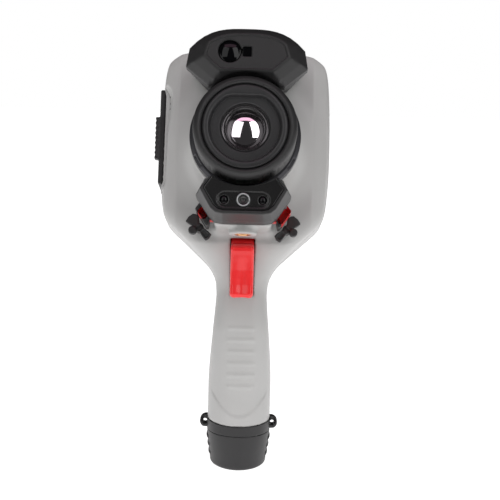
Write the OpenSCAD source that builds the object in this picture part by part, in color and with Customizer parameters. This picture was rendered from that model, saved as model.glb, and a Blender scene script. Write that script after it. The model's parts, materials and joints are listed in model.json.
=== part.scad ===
// Pistol-grip thermal imaging camera, standing on its battery cap.
// +Z runs up the grip, the lens looks towards -Y and is raked upwards.

/* [Stance] */
// Height of the head's pivot above the base
head_z = 202; // [198:1:206]
// Upward tilt of the head and lens, in degrees
rake = 16; // [14:1:18]

/* [Head] */
// Greatest half width of the head
head_hw = 54; // [52:1:56]
// Height of the head's top above its pivot
head_top = 64.5; // [63:0.5:66]
// Front face of the head, along the lens axis
head_front = -14; // [-15:0.5:-13]
// Rear face of the head
head_rear = 38; // [36:0.5:40]
// Wall thickness of the shells
wall = 2.6; // [2:0.1:3]

/* [Grip] */
// Half width of the grip at the neck
neck_hw = 15.6; // [15:0.1:16.5]
// Half width of the grip at its lower end
grip_hw = 20.2; // [19:0.1:21]
// Lower end of the grip shells
grip_bottom = 31; // [30:0.5:33]
// Height of the battery cap
cap_h = 22.4; // [21:0.1:23]

/* [Lens] */
// Front of the focus ring, along the lens axis
ring_front = -72; // [-73:0.5:-71]
// Rear of the focus ring
ring_rear = -49; // [-50:0.5:-48.5]
// Outer radius of the focus ring
ring_r = 30.2; // [29:0.1:30.6]
// Outer radius of the fixed lens barrel
barrel_r = 25; // [24:0.1:25.4]
// Radius of the bore that guides the focusing cell
cell_bore_r = 14.05; // [13.5:0.05:14.5]
// Radius of the front lens
lens_r = 13.2; // [12:0.1:13.5]
// Focusing travel each way
focus_travel = 2.5; // [1:0.1:3]

/* [Trigger] */
// Width of the trigger
trigger_w = 14.4; // [12:0.1:15]
// Height of the trigger's pivot above the base
trigger_z = 150; // [149:0.5:151]
// Radius of the trigger's pivot pin
pin_r = 1.5; // [1.2:0.1:1.8]

/* [Fits] */
// Radial clearance of running fits
run_fit = 0.05; // [0.02:0.01:0.08]
// Gap between pieces that move past each other
gap = 0.4; // [0.3:0.05:0.5]
// Radius of the tripod thread's bore
tripod_r = 2.6; // [2.5:0.05:3]
// Radius of the strap lugs' holes
lug_hole_r = 1.7; // [1.5:0.1:1.8]

/* [Hidden] */
$fn = 64;
eps = 0.01;
shell_grey = [0.66, 0.66, 0.65];
soft_black = [0.13, 0.13, 0.14];
bright_red = [0.86, 0.1, 0.1];
// The join between the two shells, as a side view in the head's frame
split_y = 0;
split_low_z = -50.5;
collar_r = 33;
// Height of the lens axis above the head's pivot
lens_z = -1.8;
// Display
glass_hw = 43.5;
glass_low = -11;
glass_high = 55.5;
// Keypad
nav_z = -35;
side_key_x = 26;
side_key_z = -31;
power_z = -53;
nav_r = 11.5;
ok_r = 4.8;
// Room round the four-way ring and the centre key, which lets the ring rock
nav_room = 1.4;
ok_room = 1;
// Side door and its hinge, in the head's frame
door_low = -21.8;
door_high = 39.3;
barrel_low = door_low + 3;
barrel_high = door_high - 2.4;
door_x = -51.7;
door_t = 3.3;
hinge_x = -53.5;
hinge_y = 33;
hinge_r = 1.8;
hinge_pin_r = 0.9;
// Tripod boss
boss_y = -30;
boss_z = -58.5;
// Camera and lamp windows in the upper hood
eye_x = -10.1;
eye_z = 43.9;
eye_r = 6.7;
// Laser and range finder in the lower hood
laser_z = -43.5;
range_x = 11.1;
// Trigger pivot
trigger_y = -22;
// Battery pack
pack_x = 12.2;
pack_front = -18.5;
pack_rear = 16.5;
pack_top = 108;
// Shell screws, as x and z in the head's frame
screws = [[30, 58], [36.5, -45]];
lug_z = 26;
lug_x = 21;
lug_hole_x = 21.75;

// ---- frames and extrusions ----
module head() {
    translate([0, 0, head_z]) rotate([-rake, 0, 0]) children();
}
// The head's frame, moved onto the lens axis
module lens_frame() {
    head() translate([0, 0, lens_z]) children();
}
// An outline in x and z, extruded from y0 to y1
module along_y(y0, y1) {
    translate([0, y1, 0]) rotate([90, 0, 0]) linear_extrude(y1 - y0) children();
}
// An outline in y and z, extruded from x0 to x1
module along_x(x0, x1) {
    translate([x0, 0, 0]) rotate([90, 0, 90]) linear_extrude(x1 - x0) children();
}
// A solid of revolution about the y axis, its outline in radius and y
module about_y() {
    rotate([-90, 0, 0]) rotate_extrude() children();
}
module disc(r, y0, y1, x = 0, z = 0) {
    translate([x, y1, z]) rotate([90, 0, 0]) cylinder(r = r, h = y1 - y0);
}
module box(x0, x1, y0, y1, z0, z1) {
    translate([x0, y0, z0]) cube([x1 - x0, y1 - y0, z1 - z0]);
}
module soften(r) {
    offset(r = r, $fn = 24) offset(delta = -r) children();
}
module both_sides() {
    children();
    mirror([1, 0, 0]) children();
}

// ---- outlines of the body ----
function ease(t) = t <= 0 ? 0 : t >= 1 ? 1 : t * t * (3 - 2 * t);
function grip_half(z) = grip_hw - (grip_hw - neck_hw) * ease((z - 50) / 75);
function grip_front(z) = -24.6 + 4.2 * ease((z - 88) / 37);
function hollow(t) = abs(t) >= 1 ? 0 : pow(cos(90 * t), 2);
function grip_rear(z) = 23.2 - 4.6 * hollow((z - 122) / 34);
function head_outline() = [[34, head_top], [44, head_top - 2.8], [49.8, head_top - 8],
    [52, head_top - 17], [52.6, 40], [head_hw, 18], [head_hw, -4], [52.6, -30], [51, -42], [46.5, -49.5],
    [27, -67], [19.5, -74], [neck_hw, -84]];
module head_front_view(inset) {
    half = head_outline();
    offset(delta = -inset) soften(2)
        polygon(concat(half, [for (i = [len(half) - 1:-1:0]) [-half[i][0], half[i][1]]]));
}
module head_side_view(inset) {
    offset(delta = -inset) soften(6)
        polygon([[head_front, head_top - 2.6], [head_rear, head_top + 0.5],
            [head_rear, -62], [34, -86], [14, -86], [2, -78], [head_front, -61.5]]);
}
module head_top_view(inset) {
    half = [[50.5, head_rear], [head_hw, head_rear - 7], [head_hw, 2], [42, head_front]];
    offset(delta = -inset) soften(3)
        polygon(concat(half, [for (i = [3:-1:0]) [-half[i][0], half[i][1]]]));
}
module head_block(inset) {
    head() intersection() {
        along_y(-30, 60) head_front_view(inset);
        along_x(-70, 70) head_side_view(inset);
        translate([0, 0, -100]) linear_extrude(200) head_top_view(inset);
    }
}
grip_steps = [for (i = [0:12]) grip_bottom + i * 9.25];
module grip_block(inset) {
    low = inset > 0 ? [grip_bottom - 1] : [];
    steps = concat(low, grip_steps);
    intersection() {
        along_y(-60, 60) polygon(concat([for (z = steps) [grip_half(z) - inset, z]],
            [for (i = [len(steps) - 1:-1:0]) [inset - grip_half(steps[i]), steps[i]]]));
        along_x(-60, 60) polygon(concat([for (z = steps) [grip_front(z) + inset, z]],
            [for (i = [len(steps) - 1:-1:0]) [grip_rear(steps[i]) - inset, steps[i]]]));
        grip_column(inset);
    }
}
module grip_plan(inset) {
    offset(delta = -inset) soften(13)
        translate([-grip_hw, -24.6]) square([2 * grip_hw, 24.6 + 23.2]);
}
module grip_column(inset) {
    linear_extrude(180) grip_plan(inset);
}

// ---- casing ----
neck_back_r = 50;
neck_tip_r = 33.5;
neck_tip_y = -36;
function neck_curve(t) = [neck_tip_r + (neck_back_r - neck_tip_r) * (1 - cos(90 * t)),
    neck_tip_y + (head_front - neck_tip_y) * sin(90 * t)];
// The hollow's rear end stays within the outer neck, which runs on into the head
module lens_neck(inset) {
    rear_y = inset > 0 ? head_front + wall + eps : head_front + wall + 1;
    lens_frame() about_y() polygon(concat([[0, neck_tip_y + inset]],
        [for (i = [0:8]) neck_curve(i / 8) + [-inset, inset]],
        [[neck_back_r - inset, rear_y], [0, rear_y]]));
}
module chin(inset) {
    head() box(-17.5 + inset, 17.5 - inset, -39 + inset, -8, -55.5 + inset, -20);
}
module outer_body() {
    head_block(0);
    grip_block(0);
    lens_neck(0);
    chin(0);
    head() translate([0, boss_y, boss_z]) cylinder(r = 8.5, h = 14);
}
module inner_body() {
    head_block(wall);
    grip_block(wall + 0.2);
    lens_neck(wall);
    difference() {
        chin(wall);
        head() translate([0, boss_y, boss_z]) cylinder(r = 8.5, h = 14);
    }
}
// Everything behind the join between the shells, moved back by a shift
module rear_region(shift) {
    joint_y = split_low_z * sin(rake) + split_y * cos(rake);
    joint_z = head_z + split_low_z * cos(rake) - split_y * sin(rake);
    rise = 76;
    along_x(-80, 80) polygon([[shift - 1, 5], [shift - 1, 136], [joint_y + shift, joint_z],
        [joint_y + shift + (rise - split_low_z) * sin(rake),
         joint_z + (rise - split_low_z) * cos(rake)], [200, 280], [200, 5]]);
}
module trigger_slot() {
    half = trigger_w / 2 + gap;
    head() box(-half, half, -19, 4, -82, -46);
    box(-half, half, -32, -8, 112.6, 146);
}
module at_screws() {
    for (p = screws) {
        both_sides() translate([p[0], 0, p[1]]) children();
    }
}
module release_slots() {
    head() both_sides() box(14, 20, -34.4, -27.6, -51.4, -44.6);
}
// Bosses for the trigger's pin, each on a web from the front wall
module pivot_bosses() {
    inner = trigger_w / 2 + gap;
    both_sides() {
        translate([inner, trigger_y, trigger_z]) rotate([0, 90, 0]) cylinder(r = 4, h = 4.5);
        box(inner, inner + 4.5, trigger_y - 6.4, trigger_y, trigger_z - 3, trigger_z + 3);
    }
}
module front_shell() {
    color(shell_grey) difference() {
        union() {
            difference() {
                outer_body();
                inner_body();
                rear_region(0);
                trigger_slot();
            }
            pivot_bosses();
            head() at_screws() disc(2.9, head_front + wall - 0.1, split_y);
        }
        translate([-20, trigger_y, trigger_z]) rotate([0, 90, 0]) cylinder(r = pin_r, h = 40);
        head() translate([0, boss_y, boss_z - 1]) cylinder(r = 4.6, h = 11);
        lens_frame() disc(collar_r + gap, -60, neck_tip_y);
        lens_frame() disc(barrel_r + run_fit, -60, -30);
        head() at_screws() disc(1.22, -9, 1);
        release_slots();
    }
}
module door_recess() {
    box(-60, -51.4, 2.6, 35.4, door_low - 0.7, door_high + 0.7);
}
module hinge_ears() {
    box(-55.2, -51, 31.4, 34.8, door_low - 0.1, barrel_low - gap);
    box(-55.2, -51, 31.4, 34.8, barrel_high + gap, door_high + 0.7);
}
speaker_z = 20;
module rear_shell() {
    color(shell_grey) difference() {
        union() {
            difference() {
                intersection() {
                    outer_body();
                    rear_region(1);
                }
                inner_body();
                head() door_recess();
            }
            head() box(-51.4, -48.9, 2, 35.6, -27, 47);
            head() hinge_ears();
            head() at_screws() disc(2.9, split_y + 1, head_rear - 1);
        }
        head() box(-60, -40, 5, 31, door_low + 3.5, door_high - 3);
        head() translate([hinge_x, hinge_y, -30]) cylinder(r = hinge_pin_r, h = 90);
        head() box(-glass_hw - 1, glass_hw + 1, 30, 50, glass_low - 1, glass_high + 1);
        head() box(-33, 33, 30, 50, -59, -21);
        head() at_screws() disc(1.4, -9, 50);
        head() at_screws() disc(2.4, head_rear - 1.6, 50);
        for (i = [-2:2]) {
            head() box(50, 60, 12, 26, speaker_z + 3.4 * i - 0.6, speaker_z + 3.4 * i + 0.6);
        }
    }
}
module shell_gasket() {
    color(soft_black) difference() {
        intersection() {
            outer_body();
            rear_region(0);
        }
        rear_region(1);
        inner_body();
        head() at_screws() disc(3.1, -9, 9);
    }
}
module shell_screws() {
    color("silver") head() at_screws() {
        disc(1.2, -7, head_rear - 1.6);
        difference() {
            disc(2.3, head_rear - 1.6, head_rear - 0.1);
            translate([0, head_rear, 0]) rotate([90, 0, 0]) cylinder(r = 1.1, h = 1.1, $fn = 6);
        }
    }
}
module tripod_insert() {
    color("goldenrod") head() translate([0, boss_y, boss_z]) difference() {
        cylinder(r = 4.6, h = 10);
        translate([0, 0, -1]) cylinder(r = tripod_r, h = 12);
    }
}
// A T-shaped strap anchor with a round stud, on each lower corner of the face
module strap_anchors() {
    color(soft_black) head() both_sides() translate([27.7, 0, -53.6]) rotate([0, -48, 0]) {
        disc(2.6, -20, head_front);
        along_y(-24, -20) soften(1.2)
            polygon([[-10, -2.6], [-2.6, -2], [2.6, -2.4], [9, -4], [9.8, 2.6], [5.6, 4.2],
                [2.4, 2.2], [-2.4, 2], [-9, 2.8]]);
        disc(2.5, -25.6, -20, 1, -4.4);
    }
}

// ---- upper hood with the visible-light camera and lamp ----
module hood_outline() {
    soften(1) polygon(concat([[-22.4, 26], [22.4, 26], [35.5, 37.3], [33.6, 50.8]],
        [for (a = [8:-2:-8]) [3.95 * a, 16.2 + 43.6 * cos(4.85 * a)]],
        [[-33.6, 50.8], [-35.5, 37.3]]));
}
module hood_face() {
    polygon(concat([[-15.8, 33.4], [15.8, 33.4], [24.2, 41.6], [22.8, 49]],
        [for (a = [4:-1:-4]) [5.2 * a, 9.4 + 45.6 * cos(6.6 * a)]],
        [[-22.8, 49], [-24.2, 41.6]]));
}
module upper_hood() {
    color(soft_black) head() difference() {
        hull() {
            along_y(-50, head_front) hood_outline();
            along_y(-66.5, -66.4) hood_face();
        }
        along_y(-46, -10) offset(delta = -wall) hood_outline();
        translate([0, 0, lens_z]) about_y()
            polygon(concat([[0, -80], [ring_r + 1, -80], [ring_r + 1, -48.8],
                [33.3, -48.8], [33.3, neck_tip_y]],
                [for (i = [0:8]) neck_curve(i / 8) + [0.15, -0.1]], [[0, head_front]]));
        disc(eye_r, -70, -60, eye_x, eye_z);
        box(-2.45, 2.45, -70, -60, eye_z - 2.85, eye_z + 2.85);
        disc(5.4, -61, -40, eye_x, eye_z);
        box(-2, 2, -61, -40, eye_z - 2, eye_z + 2);
    }
}
module camera_window() {
    color([0.05, 0.05, 0.06]) head() disc(eye_r, -64.6, -63.4, eye_x, eye_z);
}
module lamp_window() {
    color([0.2, 0.2, 0.2]) head()
        box(-2.45, 2.45, -65, -63.6, eye_z - 2.85, eye_z + 2.85);
}
module camera_module() {
    color([0.08, 0.08, 0.09]) head() {
        disc(5, -63, -44, eye_x, eye_z);
        box(eye_x - 6, eye_x + 6, -46, -38, eye_z - 6, eye_z + 6);
    }
}

// ---- lower hood with the laser and the range finder ----
module chin_outline() {
    soften(1.5) polygon([[-22.5, -29.5], [22.5, -29.5], [27.4, -39], [18.6, -52.6],
        [12, -55.4], [-12, -55.4], [-18.6, -52.6], [-27.4, -39]]);
}
module chin_face() {
    soften(1) polygon([[-14.5, -33.6], [14.5, -33.6], [21.6, -38.2], [12.4, -51],
        [-12.4, -51], [-21.6, -38.2]]);
}
module capsule(hx, hz) {
    soften(hz - 0.1) translate([-hx, -hz]) square([2 * hx, 2 * hz]);
}
module lower_hood() {
    color(soft_black) head() difference() {
        hull() {
            along_y(-52, -40) chin_outline();
            along_y(-66.5, -66.4) chin_face();
        }
        along_y(-61.5, -38) offset(delta = -wall - 0.4) chin_outline();
        translate([0, 0, lens_z]) about_y()
            polygon([[0, -80], [ring_r + 1, -80], [ring_r + 1, -48.8],
                [33.3, -48.8], [33.3, -35], [0, -35]]);
        along_y(-70, -65) translate([0, laser_z]) capsule(15.3, 4.8);
        disc(3.4, -70, -60, 0, laser_z);
        both_sides() disc(2.4, -70, -60, range_x, laser_z);
    }
}
module laser_bezel() {
    color("dimgray") head() difference() {
        disc(3.4, -65.6, -62.5, 0, laser_z);
        disc(1.8, -66, -60, 0, laser_z);
    }
}
module laser_module() {
    color("goldenrod") head() disc(3.2, -62.4, -46, 0, laser_z);
}
module range_lenses() {
    color([0.3, 0.3, 0.35]) head() both_sides() disc(2.4, -64.6, -62.2, range_x, laser_z);
}
module range_board() {
    color("seagreen") head() {
        box(-14.5, 14.5, -45, -43.4, -50, -39);
        both_sides() disc(2, -62, -45, range_x, laser_z);
    }
}
// Black wings beside the chin, each with a lens release button
wing_y0 = -40;
wing_y1 = -24;
module wing_outline(grow) {
    offset(delta = grow) polygon([[20.2, -47.6], [24.6, -40.6], [27.6, -44.8], [21.4, -54]]);
}
module wing() {
    difference() {
        union() {
            along_y(wing_y0, wing_y1) intersection() {
                wing_outline(0.9);
                translate([17.7, -56]) square([12, 20]);
            }
            box(17.7, 22.5, wing_y0, wing_y1, -55.4, -49);
        }
        translate([0, 0, lens_z]) about_y() translate([0, -50]) square([33.7, 40]);
        box(19.3, 30, -37.4, -24.6, -52.4, -43.6);
        box(17, 20, -34.4, -27.6, -51.4, -44.6);
    }
}
module hood_wings() {
    color(soft_black) head() both_sides() wing();
}
module release() {
    difference() {
        along_y(-37, -25) intersection() {
            wing_outline(1.3);
            translate([21.1, -52]) square([12, 8]);
        }
        translate([0, 0, lens_z]) about_y() translate([0, -50]) square([34, 40]);
    }
    box(15.4, 23, -34, -28, -51, -45);
}
module right_release() {
    color(bright_red) head() release();
}
module left_release() {
    color(bright_red) head() mirror([1, 0, 0]) release();
}

// ---- lens ----
module lens_collar() {
    color([0.3, 0.3, 0.31]) lens_frame() difference() {
        about_y() polygon([[barrel_r + run_fit, neck_tip_y], [collar_r, neck_tip_y],
            [collar_r, -46.5], [31.5, -48.4], [barrel_r + run_fit, -48.4]]);
        for (a = [30, 150, 270]) {
            rotate([0, a, 0]) box(31, 35, -50, -45, -3, 3);
        }
    }
}
module focus_ring() {
    color(soft_black) lens_frame() difference() {
        about_y() polygon([[barrel_r + run_fit, ring_front + 0.6],
            [barrel_r + run_fit + 0.6, ring_front], [ring_r - 2, ring_front],
            [ring_r, ring_front + 2], [ring_r, ring_rear - 1], [ring_r - 1, ring_rear],
            [barrel_r + run_fit, ring_rear]]);
        for (a = [0:10:350]) {
            rotate([0, a, 0]) translate([ring_r + 0.5, -52, 0]) rotate([90, 0, 0])
                cylinder(r = 1, h = 16);
        }
    }
}
seat_y = -59.4;
module lens_barrel() {
    color(soft_black) lens_frame() difference() {
        about_y() polygon([[lens_r + 0.9, -71.2], [barrel_r - 0.6, -71.2],
            [barrel_r, -70.6], [barrel_r, -30], [cell_bore_r, -30], [cell_bore_r, -58],
            [12, -58], [12, seat_y], [lens_r + 0.9, seat_y]]);
        along_y(-72, -67.7) intersection() {
            circle(r = 20.8);
            translate([-25, -25]) square([50, 43.6]);
        }
        box(-1.8, 1.8, -47 - focus_travel - 2.1, -47 + focus_travel + 2.1, 12, 27);
    }
}
module lens_retainer() {
    color([0.1, 0.1, 0.1]) lens_frame() about_y()
        polygon([[11.8, -64.3], [lens_r + 0.9, -64.3], [lens_r + 0.9, -66], [12.6, -66]]);
}
module front_lens() {
    color([0.25, 0.2, 0.24]) lens_frame() about_y()
        polygon(concat([[0, seat_y]], [[lens_r + 0.8, seat_y], [lens_r + 0.8, -62.2]],
            [for (a = [7:-1:0]) [lens_r * a / 7 * 0.88, -64.2 + 1.9 * pow(a / 7, 2)]]));
}
module lens_cell() {
    color("dimgray") lens_frame() difference() {
        about_y() polygon([[11, -51], [14, -51], [14, -42], [11, -42]]);
        translate([0, -47, 0]) cylinder(r = pin_r, h = 30);
    }
}
module rear_lens() {
    color([0.3, 0.25, 0.3]) lens_frame() about_y()
        polygon([[0, -49], [10.95, -48], [10.95, -45.4], [0, -44.8]]);
}
module focus_pin() {
    color("silver") lens_frame() translate([0, -47, 11]) cylinder(r = pin_r, h = 13.6);
}

// ---- shutter and detector ----
flag_pivot = 22;
shutter_open = 50;
module shutter_flag() {
    color("silver") lens_frame() translate([0, 0, -flag_pivot]) rotate([0, -shutter_open, 0])
        difference() {
            union() {
                disc(9.5, -29.2, -28.6, 0, flag_pivot);
                box(-2, 2, -29.2, -28.6, 0, flag_pivot - 8);
                disc(2.4, -29.2, -28.2);
            }
            disc(0.8 + run_fit, -30, -27);
        }
}
module shutter_motor() {
    color("gray") lens_frame() {
        disc(4, -27.6, -21, 0, -flag_pivot);
        disc(0.8, -29.6, -27.6, 0, -flag_pivot);
    }
}
module detector_module() {
    color([0.55, 0.5, 0.35]) lens_frame() {
        box(-13, 13, -24, -14, -13, 13);
        disc(8.5, -25.2, -24);
    }
}
module detector_board() {
    color("seagreen") lens_frame() box(-20, 20, -13.8, -12.2, -20, 20);
}

// ---- electronics ----
module main_board() {
    color("seagreen") head() {
        box(-42, 42, 10, 11.6, -30, 48);
        box(-14, 14, 11.6, 13.4, 6, 34);
        box(18, 34, 11.6, 13, -20, -4);
    }
}
module chassis_frame() {
    color("silver") head() difference() {
        box(-41, 41, 15, 17, -38, 48);
        box(-30, 30, 14, 18, -20, 0);
        box(-24, 24, 14, 18, 40, 44);
    }
}
module lcd_panel() {
    color([0.3, 0.32, 0.34]) head() box(-42, 42, 31, 36.5, glass_low + 1, glass_high - 1);
}
module display_glass() {
    color([0.04, 0.05, 0.06]) head() along_y(37, 39.6) soften(2)
        translate([-glass_hw, glass_low]) square([2 * glass_hw, glass_high - glass_low]);
}
module display_frame() {
    color(soft_black) head() difference() {
        along_y(head_rear, 41) soften(3) intersection() {
            head_front_view(2.6);
            translate([-49.4, glass_low - 6]) square([98.8, 100]);
        }
        along_y(36, 42) offset(delta = 0.05) soften(2)
            translate([-glass_hw, glass_low]) square([2 * glass_hw, glass_high - glass_low]);
    }
}
nav_pin_y = 34;
nav_pin_r = 0.5;
module keypad_board() {
    color("seagreen") head() {
        box(-31, 31, 29, 30.6, -57, -23);
        translate([0, 0, nav_z]) both_sides() difference() {
            box(8.4, 9.8, 30.6, nav_pin_y + 0.7, -1.6, 1.6);
            translate([8, nav_pin_y, 0]) rotate([0, 90, 0]) cylinder(r = nav_pin_r + run_fit, h = 3);
        }
        for (p = [[0, nav_z], [-side_key_x, side_key_z], [side_key_x, side_key_z],
                [0, power_z]]) {
            disc(2.6, 30.6, 31.4, p[0], p[1]);
        }
    }
}
key_back = 32.6;
module keypad_plate() {
    color(soft_black) head() difference() {
        along_y(36, 39.2) soften(6) translate([-33, -59]) square([66, 38]);
        disc(nav_r + nav_room, 30, 45, 0, nav_z);
        both_sides() disc(5.2 + gap, 30, 45, side_key_x, side_key_z);
        disc(4.6 + gap, 30, 45, 0, power_z);
    }
}
// The gimbal of the four-way ring: its side pins turn in the board's brackets, and
// the ring's lugs turn on its upper and lower pins
module nav_pivot() {
    color("dimgray") head() translate([0, nav_pin_y, nav_z]) {
        difference() {
            disc(7.6, -0.6, 0.6);
            disc(ok_r + ok_room, -2, 2);
        }
        both_sides() translate([7, 0, 0]) rotate([0, 90, 0]) cylinder(r = nav_pin_r, h = 2.6);
        for (s = [0, 180]) {
            rotate([0, s, 0]) translate([0, 0, 7]) cylinder(r = nav_pin_r, h = 2.6);
        }
    }
}
module nav_ring() {
    color([0.3, 0.3, 0.31]) head() translate([0, 0, nav_z]) difference() {
        union() {
            about_y() polygon([[ok_r + ok_room, 35.4], [nav_r - 0.6, 35.4], [nav_r, 36],
                [nav_r, 39.4], [nav_r - 1.2, 40.4], [ok_r + 1.8, 40.4],
                [ok_r + ok_room, 39.6]]);
            box(-1.6, 1.6, nav_pin_y - 0.9, 35.4 + eps, -9.8, -8.4);
            box(-1.6, 1.6, nav_pin_y - 0.9, 35.4 + eps, 8.4, 9.8);
        }
        translate([0, nav_pin_y, -20]) cylinder(r = nav_pin_r + run_fit, h = 40);
    }
}
module key(r, top) {
    disc(r, 35.4, top);
    disc(1.6, key_back, 35.4);
}
module ok_key() {
    color([0.3, 0.3, 0.31]) head() translate([0, 0, nav_z]) key(ok_r, 40);
}
module gallery_key() {
    color([0.3, 0.3, 0.31]) head() translate([-side_key_x, 0, side_key_z]) key(5.2, 40.6);
}
module back_key() {
    color([0.3, 0.3, 0.31]) head() translate([side_key_x, 0, side_key_z]) key(5.2, 40.6);
}
module power_key() {
    color([0.3, 0.3, 0.31]) head() translate([0, 0, power_z]) key(4.6, 40.6);
}
module speaker() {
    color([0.15, 0.15, 0.15]) head() translate([45.8, 19, speaker_z]) rotate([0, 90, 0])
        cylinder(r = 9, h = 4);
}

// ---- side ports ----
module port_panel() {
    color([0.2, 0.2, 0.21]) head() difference() {
        box(-48.8, -46.6, 4, 33, -22, 43);
        box(-50, -45, 13.4, 22.6, -13, -9.6);
        box(-50, -45, 14.6, 21.4, 4, 7);
        box(-50, -45, 8, 28.4, 24, 26.6);
    }
}
module socket(w, h, z) {
    difference() {
        box(-48.8, -43, 18 - w / 2, 18 + w / 2, z - h / 2, z + h / 2);
        box(-49, -44, 18 - w / 2 + 0.4, 18 + w / 2 - 0.4, z - h / 2 + 0.4, z + h / 2 - 0.4);
    }
    box(-48.2, -44, 18 - w / 2 + 1.4, 18 + w / 2 - 1.4, z - 0.3, z + 0.3);
}
module usb_socket() {
    color("silver") head() socket(9.1, 3.3, -11.3);
}
module hdmi_socket() {
    color("silver") head() socket(6.7, 2.9, 5.5);
}
module memory_card() {
    color([0.1, 0.12, 0.3]) head() box(-48.9, -43.4, 8.3, 28.1, 24.3, 26.3);
}
module port_door() {
    color(soft_black) head() difference() {
        union() {
            box(door_x - door_t, door_x, 3, 31, door_low, door_high);
            box(door_x - door_t - 2.6, door_x - door_t + eps, 3, 8.5, -6, 21.5);
            box(hinge_x - 1.2, hinge_x + 1.2, 30, hinge_y, barrel_low, barrel_high);
            translate([hinge_x, hinge_y, barrel_low])
                cylinder(r = hinge_r, h = barrel_high - barrel_low);
        }
        translate([hinge_x, hinge_y, -30]) cylinder(r = hinge_pin_r + run_fit, h = 90);
        box(-56, -50, 29.6, 34, -25, barrel_low);
        box(-56, -50, 29.6, 34, barrel_high, 46);
    }
}
module door_pin() {
    color("silver") head() translate([hinge_x, hinge_y, door_low + 0.1])
        cylinder(r = hinge_pin_r, h = door_high - door_low + 0.4);
}

// ---- trigger ----
module trigger() {
    color(bright_red) difference() {
        union() {
            along_x(-trigger_w / 2, trigger_w / 2) soften(0.8)
                polygon([[-31, 151.6], [-36.4, 150.6], [-37.8, 148.6], [-36.2, 141], [-35.6, 131],
                    [-36.3, 122], [-37.8, 115.2], [-36, 113.6], [-33.6, 114.4], [-30.2, 126],
                    [-27.6, 137], [-20.4, 146.4], [-24, 153]]);
            translate([-trigger_w / 2, trigger_y, trigger_z]) rotate([0, 90, 0])
                cylinder(r = 3.6, h = trigger_w);
        }
        translate([-20, trigger_y, trigger_z]) rotate([0, 90, 0])
            cylinder(r = pin_r + run_fit, h = 40);
    }
}
module trigger_pin() {
    color("silver") translate([-11.6, trigger_y, trigger_z]) rotate([0, 90, 0])
        cylinder(r = pin_r, h = 23.2);
}
module trigger_switch() {
    color([0.15, 0.15, 0.15]) {
        box(-6, 6, -16, -10, 120, 130);
        box(-2, 2, -17.2, -16, 123, 125);
    }
}

// ---- grip foot and battery ----
module pack_plan(grow) {
    soften(4) translate([-pack_x - grow, pack_front - grow])
        square([2 * (pack_x + grow), pack_rear - pack_front + 2 * grow]);
}
module lug_ring() {
    color(soft_black) difference() {
        union() {
            translate([0, 0, cap_h + gap]) linear_extrude(grip_bottom - cap_h - gap)
                grip_plan(0.3);
            both_sides() disc(4.2, -2.5, 2.5, lug_x, lug_z);
        }
        linear_extrude(cap_h + gap) grip_plan(0);
        translate([0, 0, 10]) linear_extrude(30) pack_plan(2.3);
        both_sides() disc(lug_hole_r, -12, 12, lug_hole_x, lug_z);
    }
}
module contact_block() {
    color("goldenrod") {
        box(-9, 9, -8, 8, pack_top + 2, pack_top + 5);
        for (x = [-6, 0, 6]) {
            box(x - 1, x + 1, -4, 4, pack_top + 0.6, pack_top + 2);
        }
    }
}
module battery_pack() {
    color([0.2, 0.2, 0.21]) translate([0, 0, cap_h]) linear_extrude(pack_top - cap_h)
        pack_plan(0);
}
module battery_seal() {
    color([0.35, 0.1, 0.1]) translate([0, 0, cap_h]) linear_extrude(3) difference() {
        pack_plan(1.8);
        pack_plan(0.02);
    }
}
latch_x = 16;
module battery_cap() {
    color(soft_black) difference() {
        union() {
            translate([0, 0, 4]) linear_extrude(cap_h - 4) grip_plan(0.5);
            linear_extrude(4) grip_plan(1.9);
        }
        both_sides() box(latch_x - 1.8, 25, -8 - gap, 8 + gap, 5 - gap, 18.4 + gap);
    }
}
module latch() {
    difference() {
        intersection() {
            box(latch_x, 25, -8, 8, 5, 18.4);
            translate([0, 0, 4]) linear_extrude(cap_h - 4) grip_plan(-0.4);
        }
        for (z = [8.2, 11.7, 15.2]) {
            translate([grip_hw + 1.2, 10, z]) rotate([90, 0, 0]) cylinder(r = 1.5, h = 20);
        }
    }
}
module right_latch() {
    color([0.2, 0.2, 0.21]) latch();
}
module left_latch() {
    color([0.2, 0.2, 0.21]) mirror([1, 0, 0]) latch();
}

front_shell();
rear_shell();
shell_gasket();
shell_screws();
upper_hood();
camera_window();
camera_module();
lamp_window();
lower_hood();
laser_module();
laser_bezel();
range_lenses();
range_board();
hood_wings();
left_release();
right_release();
lens_collar();
focus_ring();
lens_barrel();
lens_retainer();
front_lens();
lens_cell();
rear_lens();
focus_pin();
shutter_flag();
shutter_motor();
detector_module();
detector_board();
main_board();
chassis_frame();
lcd_panel();
display_glass();
display_frame();
keypad_board();
keypad_plate();
nav_pivot();
nav_ring();
ok_key();
gallery_key();
back_key();
power_key();
speaker();
port_panel();
usb_socket();
hdmi_socket();
memory_card();
port_door();
door_pin();
trigger();
trigger_pin();
trigger_switch();
tripod_insert();
strap_anchors();
lug_ring();
contact_block();
battery_pack();
battery_cap();
battery_seal();
left_latch();
right_latch();
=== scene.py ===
"""A pistol-grip thermal imaging camera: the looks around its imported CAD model.

Shapes are worked out in millimetres, either in the row frame or in the head's
frame, which is raked back with the lens: x to the side, y to the rear along the
lens axis, z up.
"""

import json
import math

import bmesh
import bpy
import numpy as np
from mathutils import Matrix, Vector


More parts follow.
